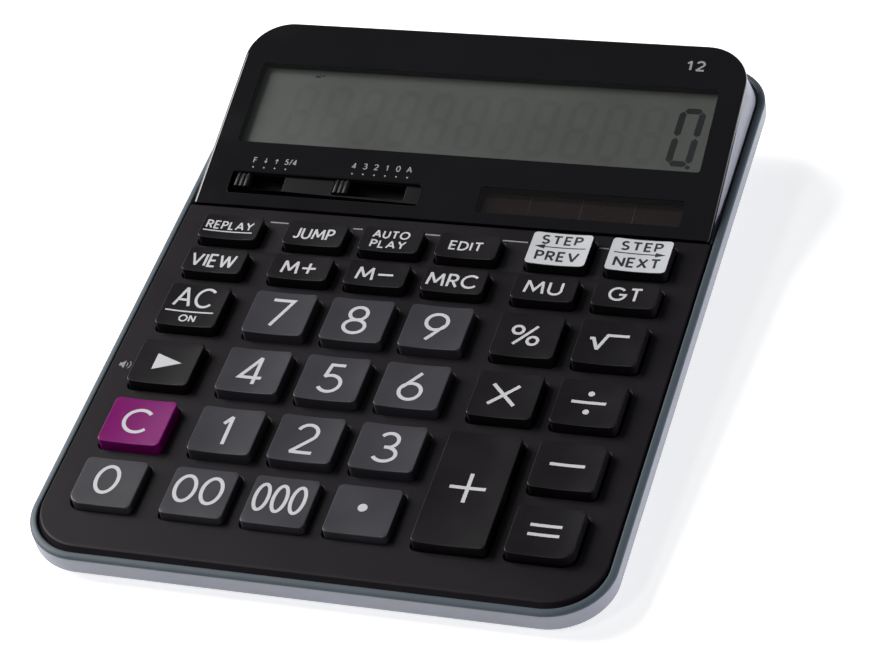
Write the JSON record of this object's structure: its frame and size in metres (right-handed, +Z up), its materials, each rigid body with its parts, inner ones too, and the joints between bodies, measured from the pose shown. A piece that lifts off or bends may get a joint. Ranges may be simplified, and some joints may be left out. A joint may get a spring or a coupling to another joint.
{
  "type": "desk calculator",
  "caption": "Desktop calculator: silver tray, black key plate with sprung keys, and a tilted display head with LCD, solar strip and slide switches.",
  "frame": {"origin": "on the desk, under the middle of the calculator's outline", "axes": "+X to the user's right, +Y from the front edge to the display, +Z up from the desk"},
  "size_m": [0.14, 0.184, 0.0348],
  "materials": {
    "silver_paint": "satin silver paint over plastic",
    "black_plate": "fine-grained matte black",
    "window_gloss": "clear acrylic, printed black behind, glossy",
    "recess_plastic": "matte dark grey",
    "display_glass": "grey-green reflective liquid crystal glass",
    "solar_glass": "dark brown amorphous silicon behind glass",
    "black_key": "satin black",
    "grey_key": "satin dark grey",
    "magenta_key": "satin magenta",
    "silver_key": "satin silver-white",
    "foot_rubber": "black rubber",
    "mat_rubber": "grey silicone rubber",
    "board_green": "green solder mask on laminate",
    "flex_film": "amber polyimide film",
    "steel": "plated steel",
    "brass": "brass disc with a ceramic face"
  },
  "bodies": {
    "case": {"bottom_case": "silver_paint", "top_case": "black_plate", "head_frame": "silver_paint", "display_window": "window_gloss", "switch_bezel": "recess_plastic", "lcd_module": "display_glass", "lcd_flex": "flex_film", "solar_cell": "solar_glass", "display_board": "board_green", "keypad_mat": "mat_rubber", "main_board": "board_green", "coin_cell": "steel", "battery_contact_positive": "steel", "battery_contact_negative": "steel", "battery_cover": "silver_paint", "battery_cover_screw": "steel", "buzzer_disc": "brass", "foot_front_left": "foot_rubber", "foot_front_right": "foot_rubber", "foot_rear_left": "foot_rubber", "foot_rear_right": "foot_rubber", "case_screw_left": "steel", "case_screw_right": "steel"},
    "rounding_switch": {"rounding_switch_knob": "black_key"},
    "decimal_switch": {"decimal_switch_knob": "black_key"},
    "key_0": {"key_0": "grey_key"},
    "key_00": {"key_00": "grey_key"},
    "key_000": {"key_000": "grey_key"},
    "key_point": {"key_point": "grey_key"},
    "key_equals": {"key_equals": "black_key"},
    "key_clear": {"key_clear": "magenta_key"},
    "key_1": {"key_1": "grey_key"},
    "key_2": {"key_2": "grey_key"},
    "key_3": {"key_3": "grey_key"},
    "key_minus": {"key_minus": "black_key"},
    "key_plus": {"key_plus": "black_key"},
    "key_delete": {"key_delete": "black_key"},
    "key_4": {"key_4": "grey_key"},
    "key_5": {"key_5": "grey_key"},
    "key_6": {"key_6": "grey_key"},
    "key_multiply": {"key_multiply": "black_key"},
    "key_divide": {"key_divide": "black_key"},
    "key_all_clear": {"key_all_clear": "black_key"},
    "key_7": {"key_7": "grey_key"},
    "key_8": {"key_8": "grey_key"},
    "key_9": {"key_9": "grey_key"},
    "key_percent": {"key_percent": "black_key"},
    "key_root": {"key_root": "black_key"},
    "key_view": {"key_view": "black_key"},
    "key_memory_plus": {"key_memory_plus": "black_key"},
    "key_memory_minus": {"key_memory_minus": "black_key"},
    "key_memory_recall": {"key_memory_recall": "black_key"},
    "key_mark_up": {"key_mark_up": "black_key"},
    "key_grand_total": {"key_grand_total": "black_key"},
    "key_replay": {"key_replay": "black_key"},
    "key_jump": {"key_jump": "black_key"},
    "key_auto_play": {"key_auto_play": "black_key"},
    "key_edit": {"key_edit": "black_key"},
    "key_step_back": {"key_step_back": "silver_key"},
    "key_step_forward": {"key_step_forward": "silver_key"}
  },
  "joints": [
    {"name": "slide_rounding_switch", "type": "slide", "parent": "case", "child": "rounding_switch", "axis": [1, 0, 0], "range_m": [0, 0.00885]},
    {"name": "slide_decimal_switch", "type": "slide", "parent": "case", "child": "decimal_switch", "axis": [1, 0, 0], "range_m": [0, 0.01475]},
    {"name": "press_key_0", "type": "slide", "parent": "case", "child": "key_0", "axis": [0, 0.0802, -0.9968], "range_m": [0, 0.0013], "stiffness_N_per_m": 450},
    {"name": "press_key_00", "type": "slide", "parent": "case", "child": "key_00", "axis": [0, 0.0802, -0.9968], "range_m": [0, 0.0013], "stiffness_N_per_m": 450},
    {"name": "press_key_000", "type": "slide", "parent": "case", "child": "key_000", "axis": [0, 0.0802, -0.9968], "range_m": [0, 0.0013], "stiffness_N_per_m": 450},
    {"name": "press_key_point", "type": "slide", "parent": "case", "child": "key_point", "axis": [0, 0.0802, -0.9968], "range_m": [0, 0.0013], "stiffness_N_per_m": 450},
    {"name": "press_key_equals", "type": "slide", "parent": "case", "child": "key_equals", "axis": [0, 0.0802, -0.9968], "range_m": [0, 0.0013], "stiffness_N_per_m": 450},
    {"name": "press_key_clear", "type": "slide", "parent": "case", "child": "key_clear", "axis": [0, 0.0802, -0.9968], "range_m": [0, 0.0013], "stiffness_N_per_m": 450},
    {"name": "press_key_1", "type": "slide", "parent": "case", "child": "key_1", "axis": [0, 0.0802, -0.9968], "range_m": [0, 0.0013], "stiffness_N_per_m": 450},
    {"name": "press_key_2", "type": "slide", "parent": "case", "child": "key_2", "axis": [0, 0.0802, -0.9968], "range_m": [0, 0.0013], "stiffness_N_per_m": 450},
    {"name": "press_key_3", "type": "slide", "parent": "case", "child": "key_3", "axis": [0, 0.0802, -0.9968], "range_m": [0, 0.0013], "stiffness_N_per_m": 450},
    {"name": "press_key_minus", "type": "slide", "parent": "case", "child": "key_minus", "axis": [0, 0.0802, -0.9968], "range_m": [0, 0.0013], "stiffness_N_per_m": 450},
    {"name": "press_key_plus", "type": "slide", "parent": "case", "child": "key_plus", "axis": [0, 0.0802, -0.9968], "range_m": [0, 0.0013], "stiffness_N_per_m": 450},
    {"name": "press_key_delete", "type": "slide", "parent": "case", "child": "key_delete", "axis": [0, 0.0802, -0.9968], "range_m": [0, 0.0013], "stiffness_N_per_m": 450},
    {"name": "press_key_4", "type": "slide", "parent": "case", "child": "key_4", "axis": [0, 0.0802, -0.9968], "range_m": [0, 0.0013], "stiffness_N_per_m": 450},
    {"name": "press_key_5", "type": "slide", "parent": "case", "child": "key_5", "axis": [0, 0.0802, -0.9968], "range_m": [0, 0.0013], "stiffness_N_per_m": 450},
    {"name": "press_key_6", "type": "slide", "parent": "case", "child": "key_6", "axis": [0, 0.0802, -0.9968], "range_m": [0, 0.0013], "stiffness_N_per_m": 450},
    {"name": "press_key_multiply", "type": "slide", "parent": "case", "child": "key_multiply", "axis": [0, 0.0802, -0.9968], "range_m": [0, 0.0013], "stiffness_N_per_m": 450},
    {"name": "press_key_divide", "type": "slide", "parent": "case", "child": "key_divide", "axis": [0, 0.0802, -0.9968], "range_m": [0, 0.0013], "stiffness_N_per_m": 450},
    {"name": "press_key_all_clear", "type": "slide", "parent": "case", "child": "key_all_clear", "axis": [0, 0.0802, -0.9968], "range_m": [0, 0.0013], "stiffness_N_per_m": 450},
    {"name": "press_key_7", "type": "slide", "parent": "case", "child": "key_7", "axis": [0, 0.0802, -0.9968], "range_m": [0, 0.0013], "stiffness_N_per_m": 450},
    {"name": "press_key_8", "type": "slide", "parent": "case", "child": "key_8", "axis": [0, 0.0802, -0.9968], "range_m": [0, 0.0013], "stiffness_N_per_m": 450},
    {"name": "press_key_9", "type": "slide", "parent": "case", "child": "key_9", "axis": [0, 0.0802, -0.9968], "range_m": [0, 0.0013], "stiffness_N_per_m": 450},
    {"name": "press_key_percent", "type": "slide", "parent": "case", "child": "key_percent", "axis": [0, 0.0802, -0.9968], "range_m": [0, 0.0013], "stiffness_N_per_m": 450},
    {"name": "press_key_root", "type": "slide", "parent": "case", "child": "key_root", "axis": [0, 0.0802, -0.9968], "range_m": [0, 0.0013], "stiffness_N_per_m": 450},
    {"name": "press_key_view", "type": "slide", "parent": "case", "child": "key_view", "axis": [0, 0.0802, -0.9968], "range_m": [0, 0.0013], "stiffness_N_per_m": 450},
    {"name": "press_key_memory_plus", "type": "slide", "parent": "case", "child": "key_memory_plus", "axis": [0, 0.0802, -0.9968], "range_m": [0, 0.0013], "stiffness_N_per_m": 450},
    {"name": "press_key_memory_minus", "type": "slide", "parent": "case", "child": "key_memory_minus", "axis": [0, 0.0802, -0.9968], "range_m": [0, 0.0013], "stiffness_N_per_m": 450},
    {"name": "press_key_memory_recall", "type": "slide", "parent": "case", "child": "key_memory_recall", "axis": [0, 0.0802, -0.9968], "range_m": [0, 0.0013], "stiffness_N_per_m": 450},
    {"name": "press_key_mark_up", "type": "slide", "parent": "case", "child": "key_mark_up", "axis": [0, 0.0802, -0.9968], "range_m": [0, 0.0013], "stiffness_N_per_m": 450},
    {"name": "press_key_grand_total", "type": "slide", "parent": "case", "child": "key_grand_total", "axis": [0, 0.0802, -0.9968], "range_m": [0, 0.0013], "stiffness_N_per_m": 450},
    {"name": "press_key_replay", "type": "slide", "parent": "case", "child": "key_replay", "axis": [0, 0.0802, -0.9968], "range_m": [0, 0.0013], "stiffness_N_per_m": 450},
    {"name": "press_key_jump", "type": "slide", "parent": "case", "child": "key_jump", "axis": [0, 0.0802, -0.9968], "range_m": [0, 0.0013], "stiffness_N_per_m": 450},
    {"name": "press_key_auto_play", "type": "slide", "parent": "case", "child": "key_auto_play", "axis": [0, 0.0802, -0.9968], "range_m": [0, 0.0013], "stiffness_N_per_m": 450},
    {"name": "press_key_edit", "type": "slide", "parent": "case", "child": "key_edit", "axis": [0, 0.0802, -0.9968], "range_m": [0, 0.0013], "stiffness_N_per_m": 450},
    {"name": "press_key_step_back", "type": "slide", "parent": "case", "child": "key_step_back", "axis": [0, 0.0802, -0.9968], "range_m": [0, 0.0013], "stiffness_N_per_m": 450},
    {"name": "press_key_step_forward", "type": "slide", "parent": "case", "child": "key_step_forward", "axis": [0, 0.0802, -0.9968], "range_m": [0, 0.0013], "stiffness_N_per_m": 450}
  ]
}
